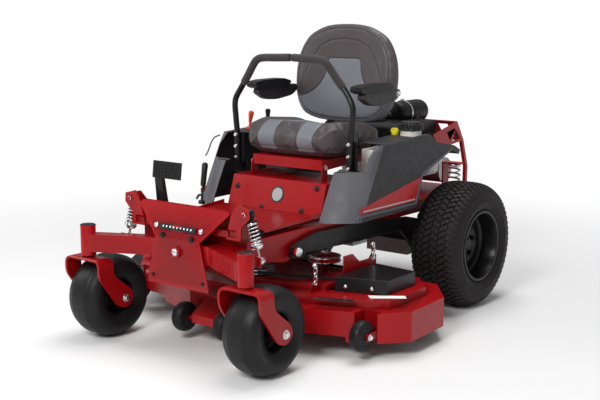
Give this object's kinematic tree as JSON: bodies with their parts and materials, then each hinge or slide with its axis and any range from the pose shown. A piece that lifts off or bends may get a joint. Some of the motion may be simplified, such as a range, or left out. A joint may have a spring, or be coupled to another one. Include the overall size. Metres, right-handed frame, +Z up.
{
  "type": "zero turn mower",
  "caption": "Ride-on zero turn mower: swivel casters on a pivoting sprung axle, sprung rear drive wheels, lifting cutting deck, tilting seat and swing-out lap bars.",
  "frame": {"origin": "middle of the footprint, on the ground", "axes": "+Z up; -Y is the front of the machine; +X is the operator's left when seated"},
  "size_m": [1.623, 1.9164, 1.2507],
  "materials": {
    "red_paint": "gloss powder coat",
    "black_paint": "satin powder coat",
    "tyre_rubber": "moulded rubber",
    "rubber": "matte",
    "charcoal_plastic": "grained moulding",
    "black_plastic": "satin moulding",
    "zinc_steel": "zinc plate",
    "cast_alloy": "as cast",
    "seat_vinyl": "grained vinyl",
    "orange_plastic": "gloss",
    "yellow_plastic": "gloss",
    "tank_plastic": "translucent polyethylene"
  },
  "bodies": {
    "chassis": {"main_frame": "red_paint", "footrest_pan": "red_paint", "seat_base_panel": "red_paint", "fender_left": "charcoal_plastic", "fender_right": "charcoal_plastic", "fuel_tank": "tank_plastic", "engine_block": "cast_alloy", "engine_shroud": "black_plastic", "air_filter": "black_plastic", "engine_guard": "red_paint", "rear_spring_left": "zinc_steel", "rear_spring_right": "zinc_steel"},
    "front_axle": {"front_axle": "red_paint"},
    "swing_arm": {"swing_arm": "black_paint", "transaxles": "cast_alloy"},
    "deck": {"deck_shell": "red_paint", "belt_cover_left": "black_paint", "belt_cover_right": "black_paint", "deck_belt": "rubber"},
    "blade_centre": {"blade_spindle_centre": "zinc_steel"},
    "chute": {"discharge_chute": "black_plastic"},
    "lift_shaft": {"lift_shaft": "black_paint"},
    "deck_pedal": {"deck_pedal": "black_paint"},
    "seat_plate": {"seat_plate": "red_paint"},
    "seat": {"seat_cushion": "seat_vinyl", "seat_backrest": "seat_vinyl"},
    "throttle": {"throttle_lever": "orange_plastic"},
    "parking_brake": {"parking_brake_lever": "black_plastic"},
    "transport_lock": {"transport_lock_lever": "black_plastic"},
    "fuel_cap": {"fuel_cap": "black_plastic"},
    "fuel_valve": {"fuel_valve_knob": "yellow_plastic"},
    "shock_left": {"shock_body_left": "black_paint", "shock_spring_left": "zinc_steel"},
    "shock_rod_left": {"shock_rod_left": "zinc_steel"},
    "caster_left": {"caster_fork_left": "red_paint"},
    "caster_wheel_left": {"caster_tyre_left": "tyre_rubber", "caster_rim_left": "black_paint"},
    "drive_wheel_left": {"rear_tyre_left": "tyre_rubber", "rear_rim_left": "black_paint"},
    "blade_left": {"blade_spindle_left": "zinc_steel"},
    "roller_corner_left": {"deck_roller_left": "rubber"},
    "roller_middle_left": {"deck_roller_middle_left": "rubber"},
    "lever_base_left": {"lap_bar_base_left": "black_paint"},
    "lap_bar_left": {"lap_bar_left": "black_paint"},
    "armrest_left": {"armrest_left": "black_plastic"},
    "shock_right": {"shock_body_right": "black_paint", "shock_spring_right": "zinc_steel"},
    "shock_rod_right": {"shock_rod_right": "zinc_steel"},
    "caster_right": {"caster_fork_right": "red_paint"},
    "caster_wheel_right": {"caster_tyre_right": "tyre_rubber", "caster_rim_right": "black_paint"},
    "drive_wheel_right": {"rear_tyre_right": "tyre_rubber", "rear_rim_right": "black_paint"},
    "blade_right": {"blade_spindle_right": "zinc_steel"},
    "roller_corner_right": {"deck_roller_right": "rubber"},
    "roller_middle_right": {"deck_roller_middle_right": "rubber"},
    "lever_base_right": {"lap_bar_base_right": "black_paint"},
    "lap_bar_right": {"lap_bar_right": "black_paint"},
    "armrest_right": {"armrest_right": "black_plastic"}
  },
  "joints": [
    {"name": "front_axle_pivot", "type": "hinge", "parent": "chassis", "child": "front_axle", "pos_m": [0.0875, -0.77175, 0.4], "axis": [0, 1, 0], "range_deg": [-4, 4]},
    {"name": "shock_pivot_left", "type": "hinge", "parent": "chassis", "child": "shock_left", "pos_m": [0.3855, -0.73675, 0.5695], "axis": [0, 1, 0], "range_deg": [-2.2, 2.2]},
    {"name": "shock_stroke_left", "type": "slide", "parent": "shock_left", "child": "shock_rod_left", "axis": [0.2725, 0, -0.9622], "range_m": [-0.0235, 0.0235], "deforming": ["shock_spring_left"]},
    {"name": "caster_swivel_left", "type": "hinge", "parent": "front_axle", "child": "caster_left", "pos_m": [0.4975, -0.89175, 0.347], "axis": [0, 0, 1], "continuous": true},
    {"name": "caster_roll_left", "type": "hinge", "parent": "caster_left", "child": "caster_wheel_left", "pos_m": [0.4975, -0.79175, 0.1665], "axis": [1, 0, 0], "continuous": true},
    {"name": "shock_pivot_right", "type": "hinge", "parent": "chassis", "child": "shock_right", "pos_m": [-0.2105, -0.73675, 0.5695], "axis": [0, 1, 0], "range_deg": [-2.2, 2.2]},
    {"name": "shock_stroke_right", "type": "slide", "parent": "shock_right", "child": "shock_rod_right", "axis": [-0.2725, 0, -0.9622], "range_m": [-0.0235, 0.0235], "deforming": ["shock_spring_right"]},
    {"name": "caster_swivel_right", "type": "hinge", "parent": "front_axle", "child": "caster_right", "pos_m": [-0.3225, -0.89175, 0.347], "axis": [0, 0, 1], "continuous": true},
    {"name": "caster_roll_right", "type": "hinge", "parent": "caster_right", "child": "caster_wheel_right", "pos_m": [-0.3225, -0.79175, 0.1665], "axis": [1, 0, 0], "continuous": true},
    {"name": "rear_suspension", "type": "hinge", "parent": "chassis", "child": "swing_arm", "pos_m": [0.0875, -0.45975, 0.38], "axis": [1, 0, 0], "range_deg": [-2.5, 2.5], "deforming": ["rear_spring_left", "rear_spring_right"]},
    {"name": "drive_wheel_roll_left", "type": "hinge", "parent": "swing_arm", "child": "drive_wheel_left", "pos_m": [0.5635, 0.50825, 0.278], "axis": [1, 0, 0], "continuous": true},
    {"name": "drive_wheel_roll_right", "type": "hinge", "parent": "swing_arm", "child": "drive_wheel_right", "pos_m": [-0.3885, 0.50825, 0.278], "axis": [1, 0, 0], "continuous": true},
    {"name": "deck_lift", "type": "slide", "parent": "chassis", "child": "deck", "axis": [0, 0, 1], "range_m": [-0.03, 0.05]},
    {"name": "blade_spin_centre", "type": "hinge", "parent": "deck", "child": "blade_centre", "pos_m": [0.0875, -0.33175, 0.12], "axis": [0, 0, 1], "continuous": true},
    {"name": "blade_spin_left", "type": "hinge", "parent": "deck", "child": "blade_left", "pos_m": [0.5535, -0.16175, 0.12], "axis": [0, 0, 1], "continuous": true},
    {"name": "blade_spin_right", "type": "hinge", "parent": "deck", "child": "blade_right", "pos_m": [-0.3785, -0.16175, 0.12], "axis": [0, 0, 1], "continuous": true},
    {"name": "roller_corner_roll_left", "type": "hinge", "parent": "deck", "child": "roller_corner_left", "pos_m": [0.6865, -0.44675, 0.096], "axis": [1, 0, 0], "continuous": true},
    {"name": "roller_middle_roll_left", "type": "hinge", "parent": "deck", "child": "roller_middle_left", "pos_m": [0.1975, -0.66275, 0.096], "axis": [1, 0, 0], "continuous": true},
    {"name": "roller_corner_roll_right", "type": "hinge", "parent": "deck", "child": "roller_corner_right", "pos_m": [-0.5115, -0.44675, 0.096], "axis": [1, 0, 0], "continuous": true},
    {"name": "roller_middle_roll_right", "type": "hinge", "parent": "deck", "child": "roller_middle_right", "pos_m": [-0.0225, -0.66275, 0.096], "axis": [1, 0, 0], "continuous": true},
    {"name": "chute_lift", "type": "hinge", "parent": "deck", "child": "chute", "pos_m": [-0.6455, -0.16775, 0.186], "axis": [0, 1, 0], "range_deg": [0, 80]},
    {"name": "lift_shaft_turn", "type": "hinge", "parent": "chassis", "child": "lift_shaft", "pos_m": [0.0875, -0.03175, 0.372], "axis": [1, 0, 0], "range_deg": [-20, 33]},
    {"name": "deck_pedal_push", "type": "hinge", "parent": "chassis", "child": "deck_pedal", "pos_m": [-0.1125, -0.67575, 0.44], "axis": [1, 0, 0], "range_deg": [-6.9, 11.4]},
    {"name": "seat_tilt", "type": "hinge", "parent": "chassis", "child": "seat_plate", "pos_m": [0.0875, -0.13675, 0.663], "axis": [1, 0, 0], "range_deg": [0, 8]},
    {"name": "seat_slide", "type": "slide", "parent": "seat_plate", "child": "seat", "axis": [0, 1, 0], "range_m": [0, 0.05]},
    {"name": "armrest_lift_left", "type": "hinge", "parent": "seat", "child": "armrest_left", "pos_m": [0.3785, 0.24025, 0.952], "axis": [-1, 0, 0], "range_deg": [0, 38]},
    {"name": "armrest_lift_right", "type": "hinge", "parent": "seat", "child": "armrest_right", "pos_m": [-0.2035, 0.24025, 0.952], "axis": [-1, 0, 0], "range_deg": [0, 38]},
    {"name": "lap_bar_stroke_left", "type": "hinge", "parent": "chassis", "child": "lever_base_left", "pos_m": [0.3905, -0.09175, 0.59], "axis": [1, 0, 0], "range_deg": [-6, 16]},
    {"name": "lap_bar_swing_left", "type": "hinge", "parent": "lever_base_left", "child": "lap_bar_left", "pos_m": [0.3905, -0.09175, 0.64], "axis": [0, 1, 0], "range_deg": [0, 30]},
    {"name": "lap_bar_stroke_right", "type": "hinge", "parent": "chassis", "child": "lever_base_right", "pos_m": [-0.2155, -0.09175, 0.59], "axis": [1, 0, 0], "range_deg": [-6, 16]},
    {"name": "lap_bar_swing_right", "type": "hinge", "parent": "lever_base_right", "child": "lap_bar_right", "pos_m": [-0.2155, -0.09175, 0.64], "axis": [0, -1, 0], "range_deg": [0, 30]},
    {"name": "throttle_turn", "type": "hinge", "parent": "chassis", "child": "throttle", "pos_m": [-0.2575, 0.01325, 0.78], "axis": [1, 0, 0], "range_deg": [-10, 25]},
    {"name": "parking_brake_turn", "type": "hinge", "parent": "chassis", "child": "parking_brake", "pos_m": [-0.2165, 0.09325, 0.784], "axis": [1, 0, 0], "range_deg": [0, 30]},
    {"name": "transport_lock_turn", "type": "hinge", "parent": "chassis", "child": "transport_lock", "pos_m": [-0.1985, -0.36975, 0.5], "axis": [1, 0, 0], "range_deg": [0, 25]},
    {"name": "fuel_cap_turn", "type": "hinge", "parent": "chassis", "child": "fuel_cap", "pos_m": [0.4325, 0.27825, 0.8], "axis": [0, 0, 1], "continuous": true},
    {"name": "fuel_valve_turn", "type": "hinge", "parent": "chassis", "child": "fuel_valve", "pos_m": [0.3875, 0.21825, 0.78], "axis": [0, 0, 1], "range_deg": [0, 90]}
  ],
  "couplings": [
    {"joint": "shock_pivot_left", "follows": "front_axle_pivot", "ratio": 0.535},
    {"joint": "shock_pivot_right", "follows": "front_axle_pivot", "ratio": 0.535},
    {"joint": "shock_stroke_left", "follows": "front_axle_pivot", "m_per_rad": 0.3329},
    {"joint": "shock_stroke_right", "follows": "front_axle_pivot", "m_per_rad": -0.3329},
    {"joint": "blade_spin_left", "follows": "blade_spin_centre", "ratio": 1},
    {"joint": "blade_spin_right", "follows": "blade_spin_centre", "ratio": 1},
    {"joint": "lift_shaft_turn", "follows": "deck_lift", "rad_per_m": 11.1},
    {"joint": "deck_pedal_push", "follows": "deck_lift", "rad_per_m": 3.9}
  ]
}
